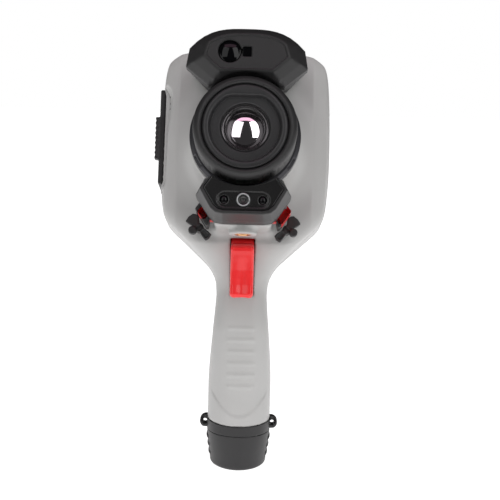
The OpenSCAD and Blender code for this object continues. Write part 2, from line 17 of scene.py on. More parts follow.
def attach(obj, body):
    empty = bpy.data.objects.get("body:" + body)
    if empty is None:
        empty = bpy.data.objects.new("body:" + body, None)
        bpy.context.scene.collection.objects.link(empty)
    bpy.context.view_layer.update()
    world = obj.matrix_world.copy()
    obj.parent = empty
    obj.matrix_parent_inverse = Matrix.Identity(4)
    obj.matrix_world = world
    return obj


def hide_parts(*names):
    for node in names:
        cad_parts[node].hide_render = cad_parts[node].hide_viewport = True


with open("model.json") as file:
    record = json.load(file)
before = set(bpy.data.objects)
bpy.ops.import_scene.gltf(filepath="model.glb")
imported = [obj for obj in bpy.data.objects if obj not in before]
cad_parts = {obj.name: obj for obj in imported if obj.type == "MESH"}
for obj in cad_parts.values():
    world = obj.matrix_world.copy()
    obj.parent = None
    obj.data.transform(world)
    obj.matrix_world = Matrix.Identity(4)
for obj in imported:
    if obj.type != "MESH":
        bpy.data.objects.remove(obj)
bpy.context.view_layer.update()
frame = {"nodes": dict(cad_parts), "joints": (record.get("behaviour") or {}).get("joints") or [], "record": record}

MM = 0.001
QUICK = 1.0

# ---- the head's frame, from the focusing joint ----
turn = next(j for j in frame["joints"] if j["name"] == "focus_turn")
FORWARD = np.array(turn["axis"])
HEAD_X = np.array([1.0, 0.0, 0.0])
HEAD_Y = -FORWARD
HEAD_Z = np.cross(HEAD_X, HEAD_Y)
TURN = np.stack([HEAD_X, HEAD_Y, HEAD_Z], 1)


def corners(points):
    return points.min(0), points.max(0)


def node_points(node):
    data = frame["nodes"][node].data
    co = np.zeros(len(data.vertices) * 3)
    data.vertices.foreach_get("co", co)
    return co.reshape(-1, 3) / MM


# How far the focusing joint lies ahead of the head's origin, and below it.
PIVOT_AHEAD = 60
LENS_DROP = 1.8
HEAD = np.array(turn["pos_m"]) / MM - PIVOT_AHEAD * FORWARD + LENS_DROP * HEAD_Z


def to_head(p):
    return (p - HEAD) @ TURN


def from_head(h):
    return h @ TURN.T + HEAD


def span(node, raked=True):
    """Lowest and highest corner of a CAD node, in the head's frame or the row's."""
    points = node_points(node)
    return corners(to_head(points) if raked else points)


# ---- signed distances ----
def length(*parts):
    return np.sqrt(sum(q * q for q in parts))


def smooth_min(a, b, k):
    h = np.clip(0.5 + 0.5 * (b - a) / k, 0, 1)
    return b * (1 - h) + a * h - k * h * (1 - h)


def smooth_max(a, b, k):
    return -smooth_min(-a, -b, k)


def slab(t, low, high):
    return np.maximum(low - t, t - high)


def ease(t):
    t = np.clip(t, 0, 1)
    return t * t * (3 - 2 * t)


def meet(a, b, r):
    """The overlap of two regions, with the edge between them rounded to r."""
    a, b = a + r, b + r
    return np.minimum(np.maximum(a, b), 0) + length(np.maximum(a, 0), np.maximum(b, 0)) - r


def block(p, low, high, r=0.0):
    low, high = np.array(low, float), np.array(high, float)
    q = np.abs(p - (low + high) / 2) - (high - low) / 2 + r
    return length(*np.maximum(q, 0).T) + np.minimum(q.max(1), 0) - r


def rounded_rect(u, v, hu, hv, r):
    a, b = np.abs(u) - hu + r, np.abs(v) - hv + r
    return length(np.maximum(a, 0), np.maximum(b, 0)) + np.minimum(np.maximum(a, b), 0) - r


def oval(u, v, a, b, power=2.2):
    """An oval of half widths a and b, a little squarer than an ellipse."""
    u, v = np.abs(u) / a + 1e-6, np.abs(v) / b + 1e-6
    k = (u**power + v**power) ** (1 / power)
    slope = length((u / k) ** (power - 1) / a, (v / k) ** (power - 1) / b)
    return (k - 1) / slope


def polygon(u, v, points):
    """Signed distance from (u, v) to a closed outline."""
    best, sign = np.full(u.shape, 1e9), np.ones(u.shape)
    for (ax, ay), (bx, by) in zip(points, np.roll(points, 1, 0)):
        ex, ey, wx, wy = bx - ax, by - ay, u - ax, v - ay
        t = np.clip((wx * ex + wy * ey) / max(ex * ex + ey * ey, 1e-9), 0, 1)
        best = np.minimum(best, (wx - ex * t) ** 2 + (wy - ey * t) ** 2)
        up, down, left = v >= ay, v < by, ex * wy > ey * wx
        sign = np.where((up & down & left) | ~(up | down | left), -sign, sign)
    return sign * np.sqrt(best)


def flowing(points, rounds=2):
    """A closed outline through the same points, with a smooth curve between them."""
    p = np.array(points, float)
    for _ in range(rounds):
        a, b, c, d = (np.roll(p, s, 0) for s in (1, 0, -1, -2))
        mid = (9 * (b + c) - a - d) / 16
        p = np.stack([p, mid], 1).reshape(-1, 2)
    return p


def mirrored(half):
    """A closed outline from its right half, listed from the top down."""
    half = np.array(half, float)
    return np.concatenate([half, half[::-1] * [-1, 1]])


# ---- meshes ----
def net(field, low, high, step, reach=1.3):
    """Vertices and quads on the field's zero level, one vertex in each cell it crosses."""
    part = 4
    low = np.array(low, float) - 1.5 * step
    cells = np.ceil((np.array(high) + 1.5 * step - low) / step / part).astype(int) * part
    axes = [low[k] + step * np.arange(cells[k] + 1) for k in range(3)]
    mids = [a[:-1:part] + step * part / 2 for a in axes]
    centre = np.stack(np.meshgrid(*mids, indexing="ij"), -1)
    rough = field(centre.reshape(-1, 3)).reshape(centre.shape[:3])
    for k in range(3):
        rough = rough.repeat(part, k)
    value = np.pad(rough, (0, 1), "edge")
    near = np.abs(rough) < 0.87 * step * part * reach
    wanted = np.zeros(value.shape, bool)
    for i in range(8):
        s = [(i >> k) & 1 for k in range(3)]
        wanted[tuple(slice(s[k], s[k] + cells[k]) for k in range(3))] |= near
    at = np.argwhere(wanted)
    value[wanted] = field(low + step * at)
    inside = value < 0
    count = np.zeros(tuple(cells), np.int8)
    for i in range(8):
        s = [(i >> k) & 1 for k in range(3)]
        count += inside[tuple(slice(s[k], s[k] + cells[k]) for k in range(3))]
    active = (count > 0) & (count < 8)
    cell = np.argwhere(active)
    index = np.full(active.shape, -1)
    index[active] = np.arange(len(cell))
    total, hits = np.zeros((len(cell), 3)), np.zeros(len(cell))
    for k in range(3):
        for u in (0, 1):
            for v in (0, 1):
                a = cell.copy()
                a[:, (k + 1) % 3] += u
                a[:, (k + 2) % 3] += v
                b = a.copy()
                b[:, k] += 1
                fa, fb = value[tuple(a.T)], value[tuple(b.T)]
                cross = (fa < 0) != (fb < 0)
                t = np.where(cross, fa / np.where(cross, fa - fb, 1), 0)
                spot = a.astype(float)
                spot[:, k] += t
                total += spot * cross[:, None]
                hits += cross
    vertex = low + step * total / hits[:, None]
    probe = np.array([[1, -1, -1], [-1, -1, 1], [-1, 1, -1], [1, 1, 1]], float)
    for _ in range(3):
        grad = sum(q * field(vertex + q * step * 0.04)[:, None] for q in probe)
        grad /= 4 * step * 0.04
        f = field(vertex)[:, None]
        move = f * grad / np.maximum((grad**2).sum(1, keepdims=True), 0.05)
        size = np.maximum(np.sqrt((move**2).sum(1, keepdims=True)), 1e-9)
        vertex -= move * np.minimum(1, 0.5 * step / size)
    faces = []
    for k in range(3):
        m, n = (k + 1) % 3, (k + 2) % 3
        cut = [slice(None)] * 3
        cut[k] = slice(0, -1)
        lower = inside[tuple(cut)]
        cut[k] = slice(1, None)
        upper = inside[tuple(cut)]
        e = np.argwhere(lower != upper)
        e = e[(e[:, m] > 0) & (e[:, n] > 0) & (e[:, m] < cells[m]) & (e[:, n] < cells[n])]
        flip = ~lower[tuple(e.T)]
        ring = []
        for dm, dn in ((1, 1), (0, 1), (0, 0), (1, 0)):
            q = e.copy()
            q[:, m] -= dm
            q[:, n] -= dn
            ring.append(index[tuple(q.T)])
        quad = np.stack(ring, 1)
        quad[flip] = quad[flip][:, ::-1]
        faces.append(quad)
    return vertex, np.concatenate(faces)


def make(name, points, faces, body, material, slot, stands_for=(), raked=True):
    """A mesh object in metres from points in millimetres, riding on a CAD body."""
    mesh = bpy.data.meshes.new(name)
    places = from_head(points) if raked else points
    mesh.from_pydata((places * MM).tolist(), [], [list(map(int, f)) for f in faces])
    mesh.update()
    mesh.shade_smooth()
    obj = bpy.data.objects.new(name, mesh)
    bpy.context.scene.collection.objects.link(obj)
    mesh.materials.append(material)
    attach(obj, body)
    if stands_for:
        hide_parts(*stands_for)
    return obj


def skin(name, field, box, step, body, material, slot, stands_for=(), raked=True, reach=1.3):
    """A piece whose surface is the zero level of a signed distance."""
    points, faces = net(field, box[0], box[1], step * QUICK, reach)
    return make(name, points, faces, body, material, slot, stands_for, raked)


def crisp(obj, width=0.25, angle=32):
    """Small rounded edges, and shading that keeps the flats flat."""
    weld = obj.modifiers.new("weld", "WELD")
    weld.merge_threshold = 1e-6
    bevel = obj.modifiers.new("bevel", "BEVEL")
    bevel.width = width * MM
    bevel.segments = 2
    bevel.limit_method = "ANGLE"
    bevel.angle_limit = math.radians(angle)
    normals = obj.modifiers.new("normals", "WEIGHTED_NORMAL")
    normals.weight = 60
    obj.data.shade_smooth()
    return obj


def turned(name, profile, body, material, slot, stands_for=(), centre=(0.0, 0.0),
           segments=128, closed=True, edge=0.2, axis="y"):
    """A lathe-turned piece. Its profile, in radius and y, may depend on the angle."""
    angles = np.arange(segments) * 2 * math.pi / segments
    rows = [np.array(profile(a) if callable(profile) else profile, float) for a in angles]
    n = len(rows[0])
    r, y = np.array([q[:, 0] for q in rows]), np.array([q[:, 1] for q in rows])
    u = r * np.cos(angles)[:, None] + centre[0]
    v = r * np.sin(angles)[:, None] + centre[1]
    order = (u, y, v) if axis == "y" else (u, v, y)
    points = np.stack(order, -1).reshape(-1, 3)
    faces = []
    for i in range(segments):
        j = (i + 1) % segments
        for k in range(n if closed else n - 1):
            m = (k + 1) % n
            faces.append((i * n + k, i * n + m, j * n + m, j * n + k))
    obj = make(name, points, faces, body, material, slot, stands_for)
    work = bmesh.new()
    work.from_mesh(obj.data)
    bmesh.ops.remove_doubles(work, verts=work.verts, dist=2e-6)
    bmesh.ops.dissolve_degenerate(work, edges=work.edges, dist=1e-7)
    bmesh.ops.recalc_face_normals(work, faces=work.faces)
    work.to_mesh(obj.data)
    work.free()
    obj.data.shade_smooth()
    return crisp(obj, edge) if edge else obj


# ---- materials ----
def nodes_of(name):
    mat = bpy.data.materials.new(name)
    mat.use_nodes = True
    tree = mat.node_tree
    return mat, tree, tree.nodes["Principled BSDF"]


def noise(tree, scale, detail=3.0, stretch=(1, 1, 1)):
    coord = tree.nodes.new("ShaderNodeTexCoord")
    mapping = tree.nodes.new("ShaderNodeMapping")
    mapping.inputs["Scale"].default_value = stretch
    node = tree.nodes.new("ShaderNodeTexNoise")
    node.inputs["Scale"].default_value = scale
    node.inputs["Detail"].default_value = detail
    tree.links.new(coord.outputs["Object"], mapping.inputs["Vector"])
    tree.links.new(mapping.outputs["Vector"], node.inputs["Vector"])
    return node


def finish(name, colour, rough, metallic=0.0, grain=1800.0, depth=0.04, mottle=0.05,
           blotch=60.0, coat=0.0, ior=1.5, stretch=(1, 1, 1), rough_swing=0.08):
    """A moulded or machined surface: slightly uneven colour and gloss over a fine grain.

    depth is the grain's height in millimetres, mottle the swing of the colour."""
    mat, tree, shader = nodes_of(name)
    shader.inputs["Metallic"].default_value = metallic
    shader.inputs["IOR"].default_value = ior
    shader.inputs["Coat Weight"].default_value = coat
    shader.inputs["Coat Roughness"].default_value = 0.08
    broad = noise(tree, blotch, 4.0, stretch)
    mix = tree.nodes.new("ShaderNodeMix")
    mix.data_type = "RGBA"
    dark = [c * (1 - mottle) for c in colour] + [1]
    light = [min(1.0, c * (1 + mottle)) for c in colour] + [1]
    mix.inputs["A"].default_value = dark
    mix.inputs["B"].default_value = light
    tree.links.new(broad.outputs["Fac"], mix.inputs["Factor"])
    tree.links.new(mix.outputs["Result"], shader.inputs["Base Color"])
    swing = tree.nodes.new("ShaderNodeMapRange")
    swing.inputs["To Min"].default_value = max(0.02, rough - rough_swing)
    swing.inputs["To Max"].default_value = min(1.0, rough + rough_swing)
    tree.links.new(broad.outputs["Fac"], swing.inputs["Value"])
    tree.links.new(swing.outputs["Result"], shader.inputs["Roughness"])
    fine = noise(tree, grain, 2.0, stretch)
    bump = tree.nodes.new("ShaderNodeBump")
    bump.inputs["Strength"].default_value = 0.5
    bump.inputs["Distance"].default_value = depth * MM
    tree.links.new(fine.outputs["Fac"], bump.inputs["Height"])
    tree.links.new(bump.outputs["Normal"], shader.inputs["Normal"])
    return mat


LOOKS = {
    "grey_shell": finish("grey_moulded_plastic", (0.41, 0.41, 0.402), 0.42, depth=0.02),
    "soft_black": finish("soft_touch_black", (0.0175, 0.0175, 0.018), 0.5, grain=2400, mottle=0.1),
    "black_plastic": finish("black_plastic", (0.02, 0.02, 0.021), 0.38, depth=0.02),
    "key_grey": finish("key_grey_plastic", (0.075, 0.075, 0.08), 0.45, depth=0.02),
    "keypad_rubber": finish("keypad_rubber", (0.035, 0.035, 0.037), 0.68, depth=0.05),
    "gasket_rubber": finish("gasket_rubber", (0.018, 0.018, 0.018), 0.8),
    "seal_rubber": finish("seal_rubber", (0.16, 0.02, 0.02), 0.6),
    "red_plastic": finish("red_gloss_plastic", (0.792, 0.016, 0.018), 0.3, grain=600,
                          depth=0.02, mottle=0.1, blotch=150, coat=0.2),
    "gunmetal": finish("anodised_gunmetal", (0.05, 0.05, 0.055), 0.4, metallic=0.6),
    "aluminium": finish("brushed_aluminium", (0.72, 0.73, 0.74), 0.34, metallic=1.0,
                        stretch=(1, 1, 14)),
    "steel": finish("turned_steel", (0.6, 0.6, 0.6), 0.28, metallic=1.0),
    "brass": finish("brass", (0.66, 0.4, 0.2), 0.3, metallic=1.0, depth=0.02),
    "gold_package": finish("gold_package", (0.7, 0.52, 0.24), 0.32, metallic=1.0),
    "board": finish("green_board", (0.02, 0.13, 0.06), 0.42, mottle=0.35, blotch=400, coat=0.3),
    "germanium": finish("coated_germanium", (0.95, 0.88, 0.93), 0.05, metallic=1.0,
                        depth=0.0, mottle=0.01, rough_swing=0.02),
    "dark_glass": finish("dark_window_glass", (0.002, 0.002, 0.0025), 0.06, depth=0.0,
                         ior=1.33, rough_swing=0.02),
    "display_glass": finish("display_cover_glass", (0.006, 0.007, 0.008), 0.05, depth=0.0,
                            coat=1.0, rough_swing=0.02),
    "lcd": finish("lcd_panel", (0.03, 0.035, 0.04), 0.3, stretch=(1, 1, 6)),
}
GLOSS_BLACK = finish("gloss_black_ring", (0.012, 0.012, 0.012), 0.2, depth=0.0, coat=0.4)

SLOT_OF = {p["node"]: p["material_slot"] for p in frame["record"]["subparts"]}
BODY_OF = {n: b for b, ns in frame["record"]["behaviour"]["bodies"].items() for n in ns}


def piece(name, field, step, stands_for, raked=True, reach=1.3, box=None, look=None):
    """A signed-distance piece in place of CAD nodes, with their body and finish."""
    stands_for = [stands_for] if isinstance(stands_for, str) else list(stands_for)
    if box is None:
        ends = [span(n, raked) for n in stands_for]
        box = (np.min([e[0] for e in ends], 0) - 1, np.max([e[1] for e in ends], 0) + 1)
    slot = SLOT_OF[stands_for[0]]
    return skin(name, field, box, step, BODY_OF[stands_for[0]], look or LOOKS[slot], slot,
                stands_for, raked, reach)


def spun(name, profile, stands_for, look=None, **options):
    slot = SLOT_OF[stands_for]
    return turned(name, profile, BODY_OF[stands_for], look or LOOKS[slot], slot,
                  [stands_for], **options)


# ---- sizes taken from the CAD ----
def size_of(node, raked=True):
    """Half width, centre height, and front and rear of a round node on the lens axis."""
    low, high = span(node, raked)
    return (high[0] - low[0]) / 2, (high[2] + low[2]) / 2, low[1], high[1]


RING_R, LENS_Z, RING_FRONT, RING_REAR = size_of("focus_ring")
COLLAR_R, _, COLLAR_FRONT, COLLAR_REAR = size_of("lens_collar")
BARREL_R, _, BARREL_FRONT, BARREL_REAR = size_of("lens_barrel")
AXIS = (0.0, LENS_Z)
FACE_Y = -14.0
NECK_R = 33.5
WALL = 2.6
GRIP_LOW = span("front_shell", False)[0][2]
CAP_TOP = span("battery_cap", False)[1][2]
FIT = 0.05

# ---- the grey body ----
# The outlines that bound the head, seen from the front, the side and the top.
FACE = flowing(mirrored([
    (22, 64.6), (31, 64), (37, 62.6), (43, 59.8), (48.6, 56.2), (51.6, 51.4), (53.2, 40),
    (54.3, 20), (54.5, 2), (54.1, -14), (52.8, -28), (51, -39.5), (47.4, -47), (38.5, -55.4),
    (27, -66.2), (18.4, -74.6), (13, -80.5), (9, -87)]))
SIDE = np.array([(FACE_Y, 62.4), (38, 66), (38, -62), (34, -86), (14, -86), (2, -78),
                 (FACE_Y, -61.5)])
TOP = np.array([(-60, 38), (51.5, 38), (56, 31), (56.4, 4), (51.5, -6), (43, FACE_Y),
                (-60, FACE_Y)])
BOSS = (0.0, -30.0)
BOSS_R, BOSS_LOW, INSERT_ROOM = 8.5, -58.5, 4.6
TRIGGER_LOW, TRIGGER_HIGH = span("trigger", False)
TRIGGER_HALF = (TRIGGER_HIGH[0] - TRIGGER_LOW[0]) / 2
DOOR_LOW, DOOR_HIGH = span("port_door")
GLASS_LOW, GLASS_HIGH = span("display_glass")
# The tray behind the side door, from its outer face to its inner face.
TRAY_OUTER, TRAY_INNER = -51.4, -48.9
SCREWS = [(30, 58), (36.5, -45)]
SCREW_ROOM = 2.5
VENT_Z, VENT_PITCH = 20, 3.4
# The grip at its foot: half width, front and rear.
GRIP_HALF, GRIP_FRONT, GRIP_REAR = 20.2, -24.6, 23.2


def grip_half(z):
    return GRIP_HALF - 4.6 * ease((z - 50) / 75)


def grip_front(z):
    return GRIP_FRONT + 4.2 * ease((z - 88) / 37)


def grip_rear(z):
    t = np.clip(np.abs(z - 122) / 34, 0, 1)
    return GRIP_REAR - 4.6 * np.cos(math.pi / 2 * t) ** 2


def grip_plan(x, y, inset=0.0):
    """The grip's foot in plan."""
    middle = (GRIP_FRONT + GRIP_REAR) / 2
    return oval(x, y - middle, GRIP_HALF, (GRIP_REAR - GRIP_FRONT) / 2) + inset


def pack_room(x, y):
    """The battery pack's way through the foot, in plan."""
    return rounded_rect(x, y + 1, 13.6, 18.8, 7)


def foot_line(x, y):
    """Height of the joint between the grey grip and its black foot."""
    sag = (1 - ease((np.abs(x) - 1) / 17)) * ease(-y / 12)
    return GRIP_LOW - 1.6 - 0.6 * sag


def grip_relief(x, z):
    """Six finger bars and the U-shaped step above the foot."""
    bars = np.cos((z - 54.8) / 7.55 * math.pi) ** 8
    bars *= ease((9.6 - np.abs(x - 0.6)) / 1.6) * ease((z - 50) / 2) * ease((97 - z) / 2)
    step = z - (35.4 + 12.2 * (x / 16.5) ** 2)
    panel = ease((step + 0.7) / 1.4) * (1 - ease((z - 44) / 30)) * ease((19 - np.abs(x)) / 3)
    return 0.55 * panel - 0.45 * bars


def body_skin(p):
    """The outside of the grey body, in the row frame."""
    h = to_head(p)
    hx, y, z = h.T
    x = np.abs(hx)
    head = smooth_max(polygon(x, z, FACE), polygon(y, z, SIDE), 9)
    head = smooth_max(head, polygon(x, y, TOP), 7)
    neck = meet(length(hx, z - LENS_Z) - NECK_R, slab(y, COLLAR_REAR, 0), 0.8)
    d = smooth_min(head, neck, 19)
    d = smooth_min(d, block(h, (-17.5, -39, -54.5), (17.5, -8, -22), 3), 7)
    boss = meet(length(hx - BOSS[0], y - BOSS[1]) - BOSS_R, slab(z, BOSS_LOW, -42), 0.8)
    d = smooth_min(d, boss, 1.6)
    X, Y, Z = p.T
    front, rear = grip_front(Z), grip_rear(Z)
    half = grip_half(Z)
    mid, deep = (front + rear) / 2, (rear - front) / 2
    grip = rounded_rect(X, Y - mid, half, deep, 13 * half / GRIP_HALF)
    round_foot = 1 - ease((Z - 44) / 50)
    grip = grip * (1 - round_foot) + oval(X, Y - mid, half, deep) * round_foot
    d = smooth_min(d, np.maximum(grip, Z - 150), 9)
    d = np.maximum(d, foot_line(X, Y) - Z)
    d = d + np.where(Y < -8, grip_relief(X, Z), 0)
    scoop = length(hx + 61.4, y + 5.8, z - np.clip(z, -19, 32)) - 12.7
    thumb = length(hx + 59.5, y + 8.2, np.where(z > 30, z - 30, (30 - z) * 0.45)) - 13.4
    return smooth_max(d, -smooth_min(scoop, thumb, 2), 0.5)


def port_opening(h):
    """The opening in the tray, where the sockets show."""
    return block(h, (-60, 5, DOOR_LOW[2] + 3.5), (-40, 31, DOOR_HIGH[2] - 3), 1)


def openings(p):
    """Everything cut through the wall of the body, in the row frame."""
    h = to_head(p)
    x, y, z = h.T
    X, Y, Z = p.T
    half = TRIGGER_HALF + 0.4
    under_trigger = np.where(Y < -27, Z - 149.9, -9)
    cuts = [
        np.maximum(pack_room(X, Y), slab(Z, 20, 62)),
        meet(length(x, z - LENS_Z) - BARREL_R - FIT, slab(y, -60, -27), 0.2),
        np.maximum(length(x, z - LENS_Z) - COLLAR_R - 0.4, slab(y, -60, COLLAR_REAR)),
        np.maximum(length(x, y - BOSS[1]) - INSERT_ROOM, slab(z, BOSS_LOW - 2, -48.5)),
        np.maximum(block(h, (-half, -19, -82), (half, 4, -46), 0.8), under_trigger),
        block(p, (-half, -32, 112.6), (half, -8, 146), 0.8),
        block(h, (GLASS_LOW[0] - 1, 30, GLASS_LOW[2] - 1),
              (GLASS_HIGH[0] + 1, 50, GLASS_HIGH[2] + 1), 2),
        np.maximum(rounded_rect(x, z + 40, 33, 19, 6), slab(y, 30, 50)),
        block(h, (-60, 2.6, DOOR_LOW[2] - 0.7), (TRAY_OUTER, 36, DOOR_HIGH[2] + 0.7), 0.5),
        port_opening(h),
    ]
    for sx, sz in SCREWS:
        r = length(np.abs(x) - sx, z - sz)
        cuts.append(np.maximum(r - SCREW_ROOM, slab(y, 36.4, 50)))
    vent = np.abs((z - VENT_Z + VENT_PITCH / 2) % VENT_PITCH - VENT_PITCH / 2) - 0.6
    vent_field = np.maximum(50 - x, np.abs(z - VENT_Z) - 8.3)
    cuts.append(np.maximum(meet(vent, slab(y, 12, 26), 0.5), vent_field))
    return np.minimum.reduce(cuts)


def body_wall(p, low_inset=0.0):
    """The wall of both shells with the tray and the door's hinge ears."""
    d = body_skin(p)
    wall = np.maximum(d + low_inset, -(d + WALL))
    h = to_head(p)
    x, y, z = h.T
    port = np.maximum(slab(x, TRAY_OUTER, TRAY_INNER), np.maximum(slab(y, 2, 36.6), slab(z, -27, 47)))
    port = np.maximum(port, -port_opening(h))
    ears = np.maximum(slab(x, -55.2, -50.6), slab(y, 31.4, 36.4))
    ears = np.maximum(ears, np.minimum(slab(z, DOOR_LOW[2] - 0.8, DOOR_LOW[2] + 2.6),
                                       slab(z, DOOR_HIGH[2] - 2, DOOR_HIGH[2] + 1)))
    cut = openings(p)
    return np.minimum(np.maximum(wall, -cut), np.minimum(port, ears) + low_inset)


def behind_join(p, shift):
    """Negative behind the join of the two shells, moved back by a shift."""
    low = from_head(np.array([[0, 0, -50.5]]))[0]
    top = from_head(np.array([[0, 0, 76.0]]))[0]
    outline = [(shift - 1, 5), (shift - 1, 136), (low[1] + shift, low[2]),
               (top[1] + shift, top[2]), (200, 280), (200, 5)]
    return polygon(p[:, 1], p[:, 2], np.array(outline))


BODY_BOX = (np.min([span(n, False)[0] for n in ("front_shell", "rear_shell")], 0) - 4,
            np.max([span(n, False)[1] for n in ("front_shell", "rear_shell")], 0) + 2)
front_box = (BODY_BOX[0], np.array([BODY_BOX[1][0], span("front_shell", False)[1][1] + 2,
                                    BODY_BOX[1][2]]))
rear_box = (np.array([BODY_BOX[0][0], span("rear_shell", False)[0][1] - 2, BODY_BOX[0][2]]),
            BODY_BOX[1])
piece("front_casing", lambda p: np.maximum(body_wall(p), -behind_join(p, 0)), 1.0,
      "front_shell", raked=False, box=front_box)
piece("rear_casing", lambda p: np.maximum(body_wall(p), behind_join(p, 1)), 1.25,
      "rear_shell", raked=False, box=rear_box)
seam_box = (np.array([BODY_BOX[0][0], span("shell_gasket", False)[0][1] - 2, BODY_BOX[0][2]]),
            np.array([BODY_BOX[1][0], span("shell_gasket", False)[1][1] + 2, BODY_BOX[1][2]]))


def seam(p):
    between = np.maximum(behind_join(p, 0) + 0.05, -behind_join(p, 1) + 0.05)
    return np.maximum(body_wall(p, 0.45), between)


piece("casing_gasket", seam, 1.1, "shell_gasket", raked=False, box=seam_box, reach=1.6)

# ---- upper hood ----
HOOD_FRONT = span("upper_hood")[0][1]


def hood_at(half_width, arc_width, shoulder, peak, low):
    """An outline of the hood: a crown of a given peak over two corners and a straight foot."""
    t = np.linspace(1, 0, 9)[:-1]
    crown = [(arc_width * q, peak - (peak - shoulder) * q**3.2) for q in t]
    return mirrored([(0, peak), *crown[::-1], (half_width, low[1] + 0.6), (low[0], low[2])])


HOOD = hood_at(35.6, 33.8, 47.8, 60.4, (22.4, 36.4, 26.2))
HOOD_BACK = hood_at(34, 32.4, 52.4, 60.4, (24.4, 44.6, 34.5))
HOOD_CREASE = hood_at(31, 28.6, 49, 58.4, (19, 38, 28.2))
HOOD_FACE = hood_at(24.8, 22.4, 48.8, 54.4, (15.4, 40.2, 32.4))
CREASE_Y = -61.0
eye_low, eye_high = span("camera_window")
EYE = (eye_low + eye_high) / 2
EYE_R = (eye_high[0] - eye_low[0]) / 2
lamp_low, lamp_high = span("lamp_window")


def loft(x, y, z, stations):
    """Blends outlines given from the rear to the front, each at its own y."""
    d = polygon(x, z, stations[0][1])
    for (y0, _), (y1, outline) in zip(stations, stations[1:]):
        t = np.clip((y0 - y) / (y0 - y1), 0, 1)
        d = d * (1 - t) + polygon(x, z, outline) * t
    return d


def lens_room(x, y, z):
    """The round space that the hoods leave for the lens and the neck."""
    r = length(x, z - LENS_Z)
    ring = np.maximum(r - RING_R - 1, y - RING_REAR)
    collar = np.maximum(r - COLLAR_R - 0.3, y - COLLAR_REAR)
    t = np.clip((y - COLLAR_REAR) / (FACE_Y - COLLAR_REAR), 0, 1)
    flare = r - NECK_R - 0.2 - 16.5 * (1 - np.cos(np.arcsin(t)))
    return np.minimum(np.minimum(ring, collar), flare)


def upper_hood(h):
    x, y, z = h.T
    side = loft(x, y, z, [(-15, HOOD_BACK), (-50, HOOD), (-56, HOOD), (CREASE_Y, HOOD_CREASE),
                          (HOOD_FRONT, HOOD_FACE)]) - 0.3
    d = smooth_max(side, slab(y, HOOD_FRONT, FACE_Y - 0.2), 1.0)
    panel = np.maximum(polygon(x, z, HOOD_FACE) + 1.0, y - HOOD_FRONT - 0.8)
    d = smooth_max(d, -panel, 0.3)
    eye = length(x - EYE[0], z - EYE[2])
    bore = np.minimum(eye - EYE_R - 0.1, block(
        h, (EYE[0], -90, EYE[2] - 1.2), (lamp_low[0] + 1, 90, EYE[2] + 1.6), 0.3))
    bore = np.minimum(bore, rounded_rect(x - (lamp_low[0] + lamp_high[0]) / 2,
                                         z - EYE[2], 2.6, 3.0, 0.6))
    d = smooth_max(d, -np.maximum(bore, slab(y, -80, -62.6)), 0.5)
    d = np.maximum(d, -np.maximum(eye - 5.5, slab(y, -64, -45)))
    inner = np.maximum(polygon(x, z, HOOD_BACK) + WALL, slab(y, -46, -10))
    d = np.maximum(d, -inner)
    return smooth_max(d, -lens_room(x, y, z), 0.5)


piece("upper_hood_cover", upper_hood, 0.7, "upper_hood", reach=2.2)

# ---- lower hood ----
CHIN = mirrored([(22.5, -29.5), (27.4, -39), (19.6, -50.6), (16.6, -52.9), (12, -53.7)])
CHIN_FACE = mirrored([(19.5, -31), (24.6, -37.4), (18.4, -48.4), (15.6, -50.7), (11.6, -51.5)])
CHIN_PANEL = mirrored([(18.4, -30.6), (22.9, -36.8), (16.8, -46.8), (14.2, -48.9), (11, -49.6)])
laser_low, laser_high = span("laser_bezel")
LASER_Z = (laser_low[2] + laser_high[2]) / 2
range_low, range_high = span("range_lenses")
RANGE_R = 2.4
RANGE_X = range_high[0] - RANGE_R


def lower_hood(h):
    x, y, z = h.T
    side = loft(x, y, z, [(-53, CHIN), (HOOD_FRONT, CHIN_FACE)]) - 0.4
    d = smooth_max(side, slab(y, HOOD_FRONT, -40), 0.8)
    panel = np.maximum(polygon(x, z, CHIN_PANEL) - 0.4, y - HOOD_FRONT - 2.6)
    d = smooth_max(d, -panel, 0.35)
    d = np.maximum(d, -np.maximum(length(x, z - LASER_Z) - 4.2, y + 60))
    d = np.maximum(d, -np.maximum(length(np.abs(x) - RANGE_X, z - LASER_Z) - 2.6, y + 60))
    inner = np.maximum(polygon(x, z, CHIN) + 3, slab(y, -61.5, -38))
    d = np.maximum(d, -inner)
    return smooth_max(d, -lens_room(x, y, z), 0.5)


piece("lower_hood_cover", lower_hood, 0.6, "lower_hood", reach=2.0)


def window_plate(h):
    """The dark plate sunk in the lower hood's face, round the laser and the range finder."""
    x, y, z = h.T
    d = meet(polygon(x, z, CHIN_PANEL) - 0.3, slab(y, HOOD_FRONT + 0.9, HOOD_FRONT + 2.7), 0.4)
    capsule = rounded_rect(x, z - LASER_Z, 15.0, 4.6, 4.4)
    d = smooth_max(d, -np.maximum(capsule, y - HOOD_FRONT - 1.9), 0.4)
    d = np.maximum(d, -(length(x, z - LASER_Z) - 4.0))
    d = smooth_max(d, -(length(np.abs(x) - RANGE_X, z - LASER_Z) - 2.5), 0.3)
    return smooth_max(d, -lens_room(x, y, z), 0.3)


plate_box = (np.array([-25, HOOD_FRONT, -50]), np.array([25, HOOD_FRONT + 4, -28]))
skin("laser_window_plate", window_plate, plate_box, 0.45, "root", GLOSS_BLACK, "black_plastic")


def range_domes(h):
    x, y, z = np.abs(h[:, 0]) - RANGE_X, h[:, 1], h[:, 2] - LASER_Z
    dome = length(x, y - range_low[1] - 3.0, z) - 3.3
    return np.maximum(meet(dome, length(x, z) - RANGE_R, 0.2), y - range_high[1])


piece("range_lens_pair", range_domes, 0.35, "range_lenses")

# ---- wings and release buttons ----
WING = np.array([(20.2, -47.6), (24.6, -40.6), (27.6, -44.8), (21.4, -54)])
wing_low, wing_high = span("hood_wings")
